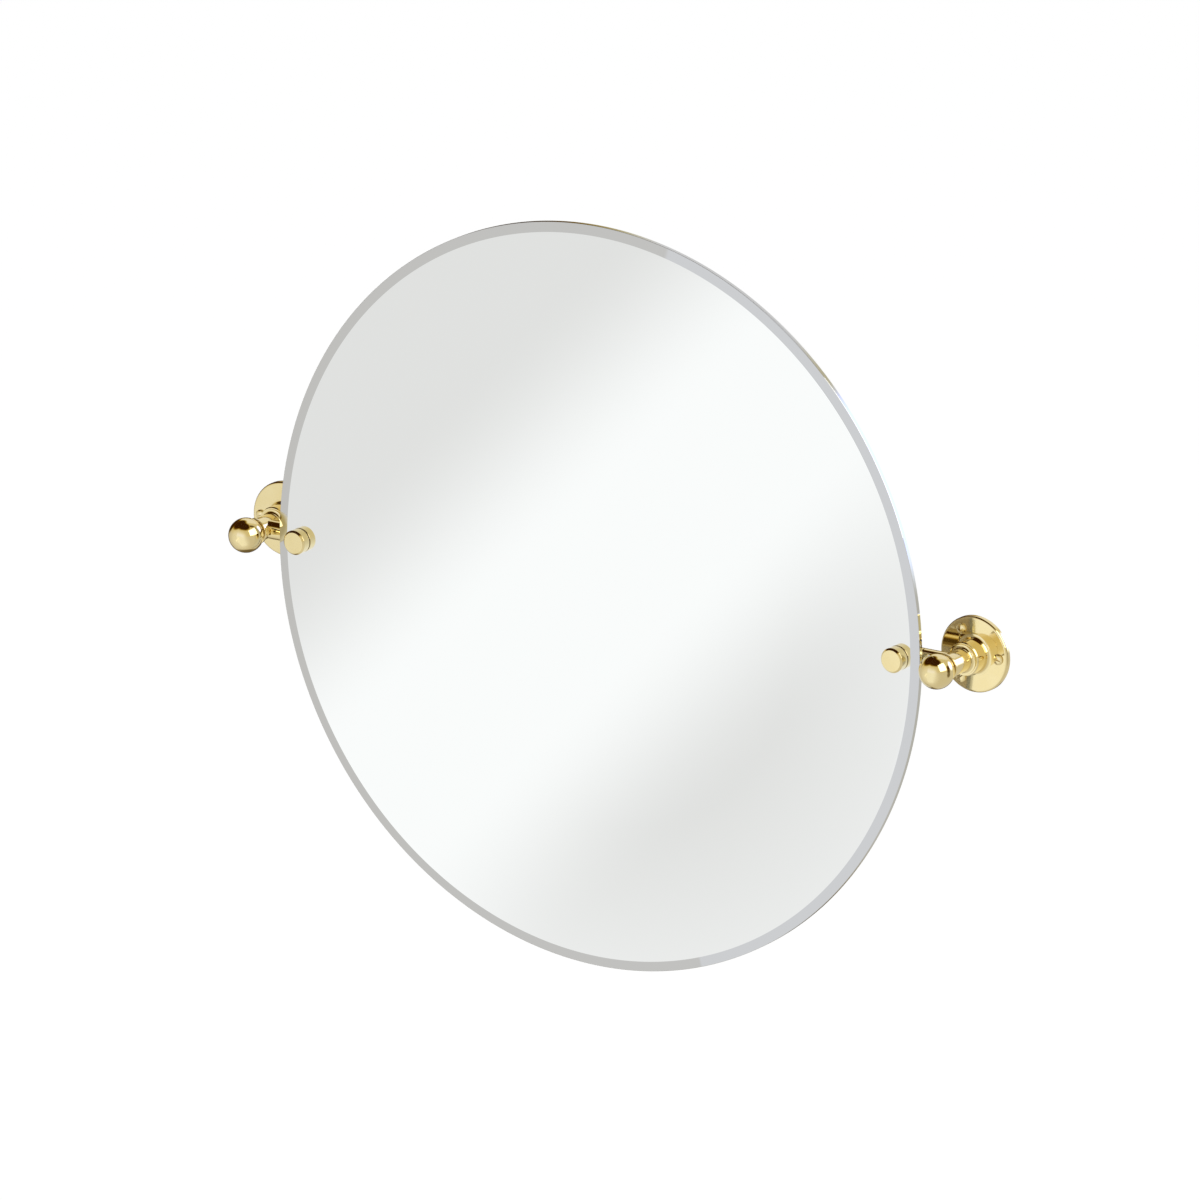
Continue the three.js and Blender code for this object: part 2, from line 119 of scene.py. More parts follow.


# Polished, lacquered brass with faint turning lines round the axis that the piece was turned on, and painted
# shade in its recesses.
def brassFinish(name, axis):
    material, tree = newMaterial(name)
    place = addNode(tree, "ShaderNodeTexCoord").outputs["Object"]
    parts = addNode(tree, "ShaderNodeSeparateXYZ", {0: place}).outputs
    if axis == "arm":
        near = addNode(tree, "ShaderNodeCombineXYZ", {
            "X": maths(tree, "ADD", parts["Y"], layout["axisDepth"] * mm), "Y": parts["Z"]}).outputs[0]
        along = parts["X"]
    else:
        across = layout["postAcross"] if axis == "post" else layout["studAcross"]
        near = addNode(tree, "ShaderNodeCombineXYZ", {
            "X": maths(tree, "SUBTRACT", maths(tree, "ABSOLUTE", parts["X"]), across * mm),
            "Y": parts["Z"]}).outputs[0]
        along = parts["Y"]
    radius = addNode(tree, "ShaderNodeVectorMath", {0: near}, operation="LENGTH").outputs["Value"]
    ringPlace = addNode(tree, "ShaderNodeCombineXYZ", {"X": radius, "Y": along}).outputs[0]
    lines = addNode(tree, "ShaderNodeTexNoise", {
        "Vector": ringPlace, "Scale": brass["lineScale"], "Detail": 2.0, "Roughness": 0.6}).outputs["Fac"]
    clouds = addNode(tree, "ShaderNodeTexNoise", {
        "Vector": place, "Scale": brass["cloudScale"], "Detail": 4.0, "Roughness": 0.55}).outputs["Fac"]
    # Painted shade: an occlusion test darkens the brass toward a brown in recesses and between parts, where
    # shade falls.
    hidden = addNode(tree, "ShaderNodeAmbientOcclusion", {
        "Distance": brass["recessReach"]}, samples=8).outputs["AO"]
    tone = blendColours(tree, spread(tree, clouds, 0.3, 0.7), brass["deep"], brass["bright"])
    paintedShade = spread(tree, hidden, 0.25, 0.85, brass["recessShare"], 0.0, smooth=True)
    tone = blendColours(tree, paintedShade, tone, brass["recessShade"])
    low, high = brass["roughness"]
    polish = maths(tree, "ADD",
                   spread(tree, clouds, 0.25, 0.75, low, high),
                   spread(tree, lines, 0.35, 0.75, 0.0, brass["lineRoughness"]))
    bump = addNode(tree, "ShaderNodeBump", {
        "Strength": brass["lineStrength"], "Distance": brass["lineDepth"], "Height": lines}).outputs["Normal"]
    surface = addNode(tree, "ShaderNodeBsdfPrincipled", {
        "Base Color": tone, "Metallic": 1.0, "Roughness": polish, "Normal": bump,
        "Coat Weight": brass["coat"], "Coat Roughness": brass["coatRoughness"]})
    addNode(tree, "ShaderNodeOutputMaterial", {"Surface": surface.outputs[0]})
    return material


plainFinishes = {
    "backingFilm": {"light": (0.57, 0.50, 0.40), "dark": (0.50, 0.44, 0.35), "metal": 0.0,
                    "roughness": (0.5, 0.68), "scale": 160.0, "bump": 0.00004},
    "zincSteel": {"light": (0.74, 0.75, 0.77), "dark": (0.62, 0.63, 0.66), "metal": 1.0,
                  "roughness": (0.24, 0.42), "scale": 700.0, "bump": 0.00001},
    "nylon": {"light": (0.87, 0.86, 0.82), "dark": (0.80, 0.79, 0.74), "metal": 0.0,
              "roughness": (0.42, 0.6), "scale": 900.0, "bump": 0.00002},
    "darkRubber": {"light": (0.19, 0.135, 0.075), "dark": (0.11, 0.075, 0.04), "metal": 0.0,
                   "roughness": (0.6, 0.8), "scale": 1200.0, "bump": 0.00003},
}


def plainFinish(name):
    sizes = plainFinishes[name]
    material, tree = newMaterial(name)
    place = addNode(tree, "ShaderNodeTexCoord").outputs["Object"]
    fine = addNode(tree, "ShaderNodeTexNoise", {
        "Vector": place, "Scale": sizes["scale"], "Detail": 3.0}).outputs["Fac"]
    broad = addNode(tree, "ShaderNodeTexNoise", {
        "Vector": place, "Scale": sizes["scale"] / 12, "Detail": 5.0}).outputs["Fac"]
    both = maths(tree, "MULTIPLY_ADD", fine, 0.5, maths(tree, "MULTIPLY", broad, 0.5))
    low, high = sizes["roughness"]
    bump = addNode(tree, "ShaderNodeBump", {
        "Strength": 0.5, "Distance": sizes["bump"], "Height": fine}).outputs["Normal"]
    surface = addNode(tree, "ShaderNodeBsdfPrincipled", {
        "Base Color": blendColours(tree, spread(tree, both, 0.35, 0.65), sizes["dark"], sizes["light"]),
        "Metallic": sizes["metal"], "Roughness": spread(tree, both, 0.3, 0.7, low, high), "Normal": bump})
    addNode(tree, "ShaderNodeOutputMaterial", {"Surface": surface.outputs[0]})
    return material


glassFinish = {
    "face": (0.885, 0.902, 0.896),
    # Painted shade: the bevel is darker than the face mostly to stand for the darker reflection it shows, and
    # a little for glass tint.
    "bevel": (0.635, 0.639, 0.631),
    "edge": (0.66, 0.675, 0.67),
    "back": (0.42, 0.44, 0.45),
    "bevelFrom": 292.0,
    "edgeFrom": 299.9,
    "backDepth": 40.85,
    "faceRoughness": (0.004, 0.02),
    "edgeRoughness": 0.04,
    "smearScale": 9.0,
    "rippleScale": 14.0,
    "rippleDepth": 0.000002,
}


# Silvered glass: bright face, a cut bevel made greyer a little by glass tint and mostly by painted shade for
# the darker room it reflects, polished edge and a plain grey back.
def silveredGlass():
    sizes = glassFinish
    material, tree = newMaterial("silveredGlass")
    place = addNode(tree, "ShaderNodeTexCoord").outputs["Object"]
    parts = addNode(tree, "ShaderNodeSeparateXYZ", {0: place}).outputs
    flat = addNode(tree, "ShaderNodeCombineXYZ", {"X": parts["X"], "Y": parts["Z"]}).outputs[0]
    radius = addNode(tree, "ShaderNodeVectorMath", {0: flat}, operation="LENGTH").outputs["Value"]
    bevel = maths(tree, "GREATER_THAN", radius, sizes["bevelFrom"] * mm)
    edge = maths(tree, "GREATER_THAN", radius, sizes["edgeFrom"] * mm)
    back = maths(tree, "GREATER_THAN", parts["Y"], -sizes["backDepth"] * mm)
    smears = addNode(tree, "ShaderNodeTexNoise", {
        "Vector": place, "Scale": sizes["smearScale"], "Detail": 6.0, "Roughness": 0.6,
        "Distortion": 0.4}).outputs["Fac"]
    ripple = addNode(tree, "ShaderNodeTexNoise", {
        "Vector": place, "Scale": sizes["rippleScale"], "Detail": 1.0}).outputs["Fac"]
    tone = blendColours(tree, bevel, sizes["face"], sizes["bevel"])
    tone = blendColours(tree, edge, tone, sizes["edge"])
    tone = blendColours(tree, back, tone, sizes["back"])
    silver = maths(tree, "SUBTRACT", 1.0, back)
    low, high = sizes["faceRoughness"]
    faceRough = spread(tree, smears, 0.45, 0.8, low, high)
    rough = addNode(tree, "ShaderNodeMix", {
        0: maths(tree, "MAXIMUM", edge, back), 2: faceRough, 3: sizes["edgeRoughness"]}, data_type="FLOAT")
    bump = addNode(tree, "ShaderNodeBump", {
        "Strength": 0.1, "Distance": sizes["rippleDepth"], "Height": ripple}).outputs["Normal"]
    surface = addNode(tree, "ShaderNodeBsdfPrincipled", {
        "Base Color": tone, "Metallic": silver, "Roughness": rough.outputs[0], "Normal": bump})
    addNode(tree, "ShaderNodeOutputMaterial", {"Surface": surface.outputs[0]})
    return material


finishes = {name: plainFinish(name) for name in plainFinishes}
finishes["silveredGlass"] = silveredGlass()
for axis in ("post", "arm", "stud"):
    finishes["brass" + axis.capitalize()] = brassFinish("brass" + axis.capitalize(), axis)
print("finishes: %d" % len(finishes))


# A profile of (radius, depth) points is revolved by this tree.
def turningTree():
    tree = bpy.data.node_groups.new("turning", "GeometryNodeTree")
    tree.is_modifier = True
    sockets = tree.interface
    sockets.new_socket("Profile", in_out="INPUT", socket_type="NodeSocketGeometry")
    segments = sockets.new_socket("Segments", in_out="INPUT", socket_type="NodeSocketInt")
    weld = sockets.new_socket("Weld Distance", in_out="INPUT", socket_type="NodeSocketFloat")
    finish = sockets.new_socket("Finish", in_out="INPUT", socket_type="NodeSocketMaterial")
    sockets.new_socket("Turned", in_out="OUTPUT", socket_type="NodeSocketGeometry")
    given = addNode(tree, "NodeGroupInput").outputs
    count = addNode(tree, "GeometryNodeAttributeDomainSize", {0: given["Profile"]}).outputs["Point Count"]
    grid = addNode(tree, "GeometryNodeMeshGrid", {
        "Vertices X": maths(tree, "ADD", given["Segments"], 1.0), "Vertices Y": count})
    index = addNode(tree, "GeometryNodeInputIndex").outputs[0]
    row = maths(tree, "MODULO", index, count)
    column = maths(tree, "FLOOR", maths(tree, "DIVIDE", maths(tree, "ADD", index, 0.5), count))
    angle = maths(tree, "MULTIPLY", maths(tree, "DIVIDE", column, given["Segments"]), 2 * math.pi)
    position = addNode(tree, "GeometryNodeInputPosition").outputs[0]
    onProfile = addNode(tree, "GeometryNodeSampleIndex", {
        "Geometry": given["Profile"], "Value": position, "Index": row}, data_type="FLOAT_VECTOR").outputs[0]
    parts = addNode(tree, "ShaderNodeSeparateXYZ", {0: onProfile}).outputs
    turned = addNode(tree, "ShaderNodeCombineXYZ", {
        "X": maths(tree, "MULTIPLY", parts["X"], maths(tree, "COSINE", angle)),
        "Y": maths(tree, "MULTIPLY", parts["X"], maths(tree, "SINE", angle)),
        "Z": parts["Z"]}).outputs[0]
    placed = addNode(tree, "GeometryNodeSetPosition", {"Geometry": grid.outputs["Mesh"], "Position": turned})
    welded = addNode(tree, "GeometryNodeMergeByDistance", {
        "Geometry": placed.outputs[0], "Distance": given["Weld Distance"]})
    plain = addNode(tree, "GeometryNodeRealizeInstances", {"Geometry": welded.outputs[0]})
    done = addNode(tree, "GeometryNodeSetMaterial", {
        "Geometry": plain.outputs[0], "Material": given["Finish"]})
    addNode(tree, "NodeGroupOutput", {"Turned": done.outputs[0]})
    return tree, {"segments": segments.identifier, "weld": weld.identifier, "finish": finish.identifier}


turning, turningSockets = turningTree()
weldDistance = 0.0000005


# Corners are (radius, depth) or (radius, depth, round). A round corner becomes an arc.
def roundCorners(corners, ring, stepAngle=11.0):
    points = []
    total = len(corners)
    for i, corner in enumerate(corners):
        here = Vector(corner[:2])
        size = corner[2] if len(corner) > 2 else 0.0
        if size <= 0 or (not ring and i in (0, total - 1)):
            points.append(here)
            continue
        back = (Vector(corners[i - 1][:2]) - here).normalized()
        ahead = (Vector(corners[(i + 1) % total][:2]) - here).normalized()
        between = back.angle(ahead)
        reach = size / math.tan(between / 2)
        centre = here + (back + ahead).normalized() * (size / math.sin(between / 2))
        start, end = here + back * reach - centre, here + ahead * reach - centre
        turn = math.pi - between
        sign = 1.0 if start.x * end.y - start.y * end.x > 0 else -1.0
        steps = max(2, round(math.degrees(turn) / stepAngle))
        for k in range(steps + 1):
            a = sign * turn * k / steps
            points.append(centre + Vector((start.x * math.cos(a) - start.y * math.sin(a),
                                           start.x * math.sin(a) + start.y * math.cos(a))))
    if ring:
        points.append(points[0].copy())
    return points


def arcPoints(centreRadius, centreDepth, size, fromAngle, toAngle, steps):
    angles = [math.radians(fromAngle + (toAngle - fromAngle) * i / steps) for i in range(steps + 1)]
    return [(centreRadius + size * math.cos(a), centreDepth + size * math.sin(a)) for a in angles]


# Leaves the evaluated shape as a plain mesh, without modifiers.
def settle(piece):
    graph = bpy.context.evaluated_depsgraph_get()
    old = piece.data
    plain = bpy.data.meshes.new_from_object(
        piece.evaluated_get(graph), preserve_all_data_layers=True, depsgraph=graph)
    piece.modifiers.clear()
    piece.data = plain
    bpy.data.meshes.remove(old)
    plain.name = piece.name
    return piece


def faceOutwards(mesh):
    work = bmesh.new()
    work.from_mesh(mesh)
    bmesh.ops.recalc_face_normals(work, faces=work.faces)
    work.to_mesh(mesh)
    work.free()


# A body turned round a line along the depth (axis "depth") or round the tilt axis (axis "arm").
# For the tilt axis, the second number of each corner is the place along X.
def turnPiece(name, corners, finish, axis="depth", across=0.0, up=0.0, segments=128, ring=False):
    points = roundCorners(corners, ring)
    mesh = bpy.data.meshes.new(name)
    mesh.from_pydata([(r * mm, 0.0, d * mm) for r, d in points],
                     [(i, i + 1) for i in range(len(points) - 1)], [])
    piece = bpy.data.objects.new(name, mesh)
    scene.collection.objects.link(piece)
    modifier = piece.modifiers.new("turning", "NODES")
    modifier.node_group = turning
    modifier[turningSockets["segments"]] = segments
    modifier[turningSockets["weld"]] = weldDistance
    modifier[turningSockets["finish"]] = finishes[finish]
    settle(piece)
    if axis == "arm":
        place = Matrix.Translation((0, -layout["axisDepth"] * mm, 0)) @ Matrix.Rotation(math.pi / 2, 4, "Y")
    else:
        place = Matrix.Translation((across * mm, 0, up * mm)) @ Matrix.Rotation(math.pi / 2, 4, "X")
    piece.data.transform(place)
    faceOutwards(piece.data)
    return piece


# A straight bar used as a cutting tool.
def toolBar(radius, low, high, axis="depth", across=0.0, up=0.0, segments=64):
    corners = [(0, low), (radius, low), (radius, high), (0, high)]
    return turnPiece("tool", corners, "zincSteel", axis, across, up, segments)


def toolBlock(low, high):
    mesh = bpy.data.meshes.new("tool")
    work = bmesh.new()
    bmesh.ops.create_cube(work, size=1.0)
    work.to_mesh(mesh)
    work.free()
    size = [high[i] - low[i] for i in range(3)]
    middle = [(high[i] + low[i]) / 2 * mm for i in range(3)]
    mesh.transform(Matrix.Translation(middle) @ Matrix.Diagonal([s * mm for s in size] + [1.0]))
    tool = bpy.data.objects.new("tool", mesh)
    scene.collection.objects.link(tool)
    return tool


def combine(piece, tools, operation="DIFFERENCE"):
    for tool in tools:
        cut = piece.modifiers.new("cut", "BOOLEAN")
        cut.object = tool
        cut.operation = operation
        cut.solver = "EXACT"
    settle(piece)
    for tool in tools:
        mesh = tool.data
        bpy.data.objects.remove(tool, do_unlink=True)
        bpy.data.meshes.remove(mesh)
    return piece


# The piece stands for the CAD nodes named.
def finishPiece(piece, body, finish, nodes, crease=32.0):
    mesh = piece.data
    mesh.shade_smooth()
    mesh.set_sharp_from_angle(angle=math.radians(crease))
    even = piece.modifiers.new("even", "WEIGHTED_NORMAL")
    even.mode = "FACE_AREA"
    even.keep_sharp = True
    settle(piece)
    piece.data.materials.clear()
    piece.data.materials.append(finishes[finish])
    for face in piece.data.polygons:
        face.material_index = 0
    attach(piece, body)
    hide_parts(*nodes)
    low = Vector([min(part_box(n)[0][i] for n in nodes) for i in range(3)])
    high = Vector([max(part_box(n)[1][i] for n in nodes) for i in range(3)])
    corners = [v.co for v in piece.data.vertices]
    off = max(max(abs(min(c[i] for c in corners) - low[i]), abs(max(c[i] for c in corners) - high[i]))
              for i in range(3))
    print("  %-22s %6d faces, box off by %.3f mm" % (piece.name, len(piece.data.polygons), off / mm))
    return piece


# All sizes below are in millimetres, with depths from the wall. A cutting tool runs on past each open face.
past = 1.0
coveSteps = 10

plate = {"radius": 30.4, "thickness": 4.9, "rimRound": 2.1, "backRound": 0.25, "screwReach": 22.45,
         "screwHole": 2.35, "postHole": 2.65, "postHead": 5.15, "postHeadHeight": 2.6}


def screwPlaces(side):
    angles = [2 * math.pi * i / screw["count"] for i in range(screw["count"])]
    return [(side * (layout["postAcross"] + plate["screwReach"] * math.cos(a)),
             plate["screwReach"] * math.sin(a)) for a in angles]


# The hollow that the hidden post screw and its countersunk head lie in.
def postScrewPath(side):
    hole, head = plate["postHole"], plate["postHead"]
    corners = [(0, boss["front"] + past), (hole, boss["front"] + past), (hole, plate["postHeadHeight"]),
               (head, 0), (head, -past), (0, -past)]
    return turnPiece("tool", corners, "zincSteel", across=side * layout["postAcross"], segments=64)


def wallPlate(label, side):
    corners = [(0, plate["thickness"]), (plate["radius"], plate["thickness"], plate["rimRound"]),
               (plate["radius"], 0, plate["backRound"]), (0, 0)]
    piece = turnPiece("brass_plate_" + label, corners, "brassPost", across=side * layout["postAcross"],
                      segments=180)
    holes = [toolBar(plate["screwHole"], -past, plate["thickness"] + past, across=x, up=z, segments=48)
             for x, z in screwPlaces(side)]
    combine(piece, holes + [postScrewPath(side)])
    finishPiece(piece, "brackets", "brassPost", ["wall_plate_" + label])


boss = {"radius": 13.5, "topRadius": 12.9, "back": 4.9, "front": 19.8, "taperHeight": 1.4, "taperRound": 0.5,
        "coveRadius": 3.1, "edgeRound": 0.25}


def bossPiece(label, side):
    wall, size = boss["radius"], boss["coveRadius"]
    cove = arcPoints(wall + size, boss["back"] + size, size, 180, 270, coveSteps)
    corners = [(0, boss["front"]), (boss["topRadius"], boss["front"], boss["edgeRound"]),
               (wall, boss["front"] - boss["taperHeight"], boss["taperRound"]), *cove, (0, boss["back"])]
    piece = turnPiece("brass_boss_" + label, corners, "brassPost", across=side * layout["postAcross"])
    combine(piece, [postScrewPath(side)])
    finishPiece(piece, "brackets", "brassPost", ["boss_" + label])


post = {"footRadius": 11.7, "footHeight": 0.7, "footRound": 0.12, "coveHeight": 2.6, "neckRadius": 9.2,
        "neckRound": 0.3, "collarRadius": 10.5, "collarBack": 42.7, "collarRound": 0.55, "front": 45.3,
        "screwHole": 2.53, "screwDepth": 27.5, "spigotHole": 3.03, "spigotDepth": 36.8}
arm = {"radius": 7.5, "endRound": 0.35, "pinBore": 3.08, "pinBoreEnd": 310.5}


def postPiece(label, side):
    foot, neck, collar = post["footRadius"], post["neckRadius"], post["collarRadius"]
    coveTop = boss["front"] + post["footHeight"] + post["coveHeight"]
    cove = []
    for i in range(coveSteps + 1):
        a = math.pi / 2 * i / coveSteps
        cove.append((foot - (foot - neck) * math.cos(a), coveTop - post["coveHeight"] * math.sin(a)))
    corners = [(0, post["front"]), (collar, post["front"], post["collarRound"]),
               (collar, post["collarBack"], post["collarRound"]),
               (neck, post["collarBack"], post["neckRound"]), *cove,
               (foot, boss["front"], post["footRound"]), (0, boss["front"])]
    across = side * layout["postAcross"]
    piece = turnPiece("brass_post_" + label, corners, "brassPost", across=across)
    low, high = sorted((side * layout["armEnd"], across))
    lowRound, highRound = (arm["endRound"], 0) if side > 0 else (0, arm["endRound"])
    ends = [(arm["radius"], low, lowRound), (arm["radius"], high, highRound)]
    bar = turnPiece("arm", [(0, low), *ends, (0, high)], "brassPost", axis="arm")
    combine(piece, [bar], "UNION")
    boreLow, boreHigh = sorted((side * (layout["armEnd"] - past), side * arm["pinBoreEnd"]))
    combine(piece, [
        toolBar(arm["pinBore"], boreLow, boreHigh, axis="arm"),
        toolBar(post["screwHole"], boss["front"] - past, post["screwDepth"], across=across),
        toolBar(post["spigotHole"], post["spigotDepth"], post["front"] + past, across=across)])
    finishPiece(piece, "brackets", "brassPost", ["post_arm_" + label])


ball = {"radius": 13.95, "flatRadius": 7.45, "spigotRadius": 3.0, "spigotEnd": 37.3, "rings": 56}


def ballPiece(label, side):
    centre = post["front"] + math.sqrt(ball["radius"] ** 2 - ball["flatRadius"] ** 2)
    flatAngle = -math.degrees(math.asin((centre - post["front"]) / ball["radius"]))
    dome = arcPoints(0, centre, ball["radius"], 90, flatAngle, ball["rings"])
    dome[0] = (0, dome[0][1])
    corners = [*dome, (ball["spigotRadius"], post["front"]), (ball["spigotRadius"], ball["spigotEnd"]),
               (0, ball["spigotEnd"])]
    piece = turnPiece("brass_ball_" + label, corners, "brassPost", across=side * layout["postAcross"])
    finishPiece(piece, "brackets", "brassPost", ["ball_finial_" + label])


screw = {"headRadius": 4.25, "headHeight": 2.6, "headSide": 0.9, "footCut": 0.2, "domeSteps": 14,
         "shankRadius": 2.2, "shankEnd": 0.15, "slotWidth": 1.1, "slotDepth": 1.2, "count": 3,
         "slotTurns": (12.0, 75.0, 140.0)}


# One round-head screw at the origin, its slot along X.
def screwPiece():
    head, height, shank, cut = (screw[k] for k in ("headRadius", "headHeight", "shankRadius", "footCut"))
    rise = height - screw["headSide"]
    size = (head ** 2 + rise ** 2) / (2 * rise)
    foot = math.degrees(math.acos(head / size))
    dome = arcPoints(0, height - size, size, 90, foot, screw["domeSteps"])
    dome[0] = (0, height)
    end = screw["shankEnd"] - plate["thickness"]
    corners = [*dome, (head, cut), (head - cut, 0.0), (shank, 0.0), (shank, end), (0, end)]
    piece = turnPiece("screw", corners, "brassPost", segments=64)
    half = screw["slotWidth"] / 2
    slot = toolBlock((-head - past, -height - past, -half), (head + past, -height + screw["slotDepth"], half))
    return combine(piece, [slot])


# Copies the screw to every hole of both plates and turns each slot.
def screwTree():
    tree = bpy.data.node_groups.new("wallScrews", "GeometryNodeTree")
    tree.is_modifier = True
    sockets = tree.interface
    ids = {}
    sockets.new_socket("Screw", in_out="INPUT", socket_type="NodeSocketGeometry")
    for name, kind in (("Count", "Int"), ("Across", "Float"), ("Reach", "Float"), ("Seat Depth", "Float"),
                       ("Slot Turns", "Vector"), ("Finish", "Material")):
        ids[name] = sockets.new_socket(name, in_out="INPUT", socket_type="NodeSocket" + kind).identifier
    sockets.new_socket("Screws", in_out="OUTPUT", socket_type="NodeSocketGeometry")
    given = addNode(tree, "NodeGroupInput").outputs
    points = addNode(tree, "GeometryNodeMeshLine", {"Count": maths(tree, "MULTIPLY", given["Count"], 2.0)})
    index = addNode(tree, "GeometryNodeInputIndex").outputs[0]
    turn = maths(tree, "MODULO", index, given["Count"])
    isRight = maths(tree, "GREATER_THAN", index, maths(tree, "SUBTRACT", given["Count"], 0.5))
    side = maths(tree, "MULTIPLY_ADD", isRight, 2.0, -1.0)
    angle = maths(tree, "MULTIPLY", maths(tree, "DIVIDE", turn, given["Count"]), 2 * math.pi)
    across = maths(tree, "MULTIPLY_ADD", given["Reach"], maths(tree, "COSINE", angle), given["Across"])
    place = addNode(tree, "ShaderNodeCombineXYZ", {
        "X": maths(tree, "MULTIPLY", side, across),
        "Y": maths(tree, "MULTIPLY", given["Seat Depth"], -1.0),
        "Z": maths(tree, "MULTIPLY", given["Reach"], maths(tree, "SINE", angle))}).outputs[0]
    spots = addNode(tree, "GeometryNodeSetPosition", {"Geometry": points.outputs[0], "Position": place})
    turns = addNode(tree, "ShaderNodeSeparateXYZ", {0: given["Slot Turns"]}).outputs
    pick = addNode(tree, "GeometryNodeIndexSwitch", data_type="FLOAT")
    pick.index_switch_items.new()
    tree.links.new(turn, pick.inputs["Index"])
    for i in range(3):
        tree.links.new(turns[i], pick.inputs[str(i)])
    slotTurn = maths(tree, "MULTIPLY", side, maths(tree, "RADIANS", pick.outputs[0]))
    spin = addNode(tree, "ShaderNodeCombineXYZ", {"Y": slotTurn}).outputs[0]
    copies = addNode(tree, "GeometryNodeInstanceOnPoints", {
        "Points": spots.outputs[0], "Instance": given["Screw"], "Rotation": spin})
    plain = addNode(tree, "GeometryNodeRealizeInstances", {"Geometry": copies.outputs[0]})
    done = addNode(tree, "GeometryNodeSetMaterial", {
        "Geometry": plain.outputs[0], "Material": given["Finish"]})
    addNode(tree, "NodeGroupOutput", {"Screws": done.outputs[0]})
    return tree, ids


def wallScrews():
    tree, ids = screwTree()
    piece = screwPiece()
    piece.name = "brass_wall_screws"
    copies = piece.modifiers.new("copies", "NODES")
    copies.node_group = tree
    copies[ids["Count"]] = screw["count"]
    copies[ids["Across"]] = layout["postAcross"] * mm
    copies[ids["Reach"]] = plate["screwReach"] * mm
    copies[ids["Seat Depth"]] = plate["thickness"] * mm
    copies[ids["Slot Turns"]] = screw["slotTurns"]
    copies[ids["Finish"]] = finishes["brassPost"]
    settle(piece)
    nodes = ["wall_screw_%s_%d" % (label, i + 1) for label, side in sides for i in range(screw["count"])]
    finishPiece(piece, "brackets", "brassPost", nodes)


frictionWasher = {"radius": 6.9, "hole": 3.15, "inner": 296.25, "outer": 297.0, "edgeRound": 0.12}


def frictionWasherPiece(label, side):
    low, high = sorted((side * frictionWasher["inner"], side * frictionWasher["outer"]))
    hole, outer, edge = frictionWasher["hole"], frictionWasher["radius"], frictionWasher["edgeRound"]
    corners = [(hole, low), (outer, low, edge), (outer, high, edge), (hole, high)]
    piece = turnPiece("seam_washer_" + label, corners, "darkRubber", axis="arm", ring=True)
    finishPiece(piece, "brackets", "darkRubber", ["friction_washer_" + label])


for label, side in sides:
    wallPlate(label, side)
    bossPiece(label, side)
    postPiece(label, side)
    ballPiece(label, side)
    frictionWasherPiece(label, side)
wallScrews()
print("brackets done")


glass = {"radius": 300.0, "bevelFrom": 292.0, "bevelDrop": 1.1, "arris": 0.3, "frontArris": 0.15,
         "hole": 4.75, "segments": 420}


def glassPiece():
    outer, front, back = glass["radius"], layout["glassFront"], layout["glassBack"]
    foot = front - glass["bevelDrop"]
    arris, small = glass["arris"], glass["frontArris"]
    slope = glass["bevelDrop"] / (outer - glass["bevelFrom"])
    corners = [(0, front), (glass["bevelFrom"], front), (outer - small, foot + small * slope),
               (outer, foot - small), (outer, back + arris), (outer - arris, back), (0, back)]
    piece = turnPiece("mirror_disc", corners, "silveredGlass", segments=glass["segments"])
    holes = [toolBar(glass["hole"], back - past, front + past, across=side * layout["studAcross"])
             for label, side in sides]
    combine(piece, holes)
    finishPiece(piece, "mirror", "silveredGlass", ["mirror_glass"], crease=5.0)


knob = {"radius": 9.95, "back": 46.0, "front": 54.6, "chamfer": 1.5, "edgeRound": 0.5, "footRound": 0.5,
        "hole": 3.03, "holeEnd": 52.4}


def knobPiece(label, side):
    outer, front, cut = knob["radius"], knob["front"], knob["chamfer"]
    corners = [(0, front), (outer - cut, front, knob["edgeRound"]), (outer, front - cut, knob["edgeRound"]),
               (outer, knob["back"], knob["footRound"]), (knob["hole"], knob["back"]),
               (knob["hole"], knob["holeEnd"]), (0, knob["holeEnd"])]
    piece = turnPiece("brass_knob_" + label, corners, "brassStud", across=side * layout["studAcross"])
    finishPiece(piece, "mirror", "brassStud", ["clamp_knob_" + label])


knobWasher = {"radius": 9.2, "hole": 3.15}


def knobWasherPiece(label, side):
    hole, outer = knobWasher["hole"], knobWasher["radius"]
    front, back = knob["back"], layout["glassFront"]
    corners = [(hole, front), (outer, front), (outer, back), (hole, back)]
    piece = turnPiece("front_washer_" + label, corners, "darkRubber", across=side * layout["studAcross"],
                      ring=True)
    finishPiece(piece, "mirror", "darkRubber", ["knob_washer_" + label])


bush = {"radius": 4.6, "front": 45.3, "flange": 7.0, "flangeFront": 40.3, "flangeRound": 0.2, "hole": 3.15}


def bushPiece(label, side):
    hole, outer, flange, edge = bush["hole"], bush["radius"], bush["flange"], bush["flangeRound"]
    corners = [(hole, bush["front"]), (outer, bush["front"]), (outer, bush["flangeFront"]),
               (flange, bush["flangeFront"], edge), (flange, layout["seatDepth"], edge),
               (hole, layout["seatDepth"])]
    piece = turnPiece("flanged_bush_" + label, corners, "nylon", across=side * layout["studAcross"],
                      segments=96, ring=True)
    finishPiece(piece, "mirror", "nylon", ["glass_bush_" + label])


pivotEnd = {"tip": 268.0, "tipRound": 1.2, "faceRound": 0.3, "pinHole": 3.03, "pinHoleFrom": 286.2,
            "studHole": 3.03, "studHoleFrom": 29.17}


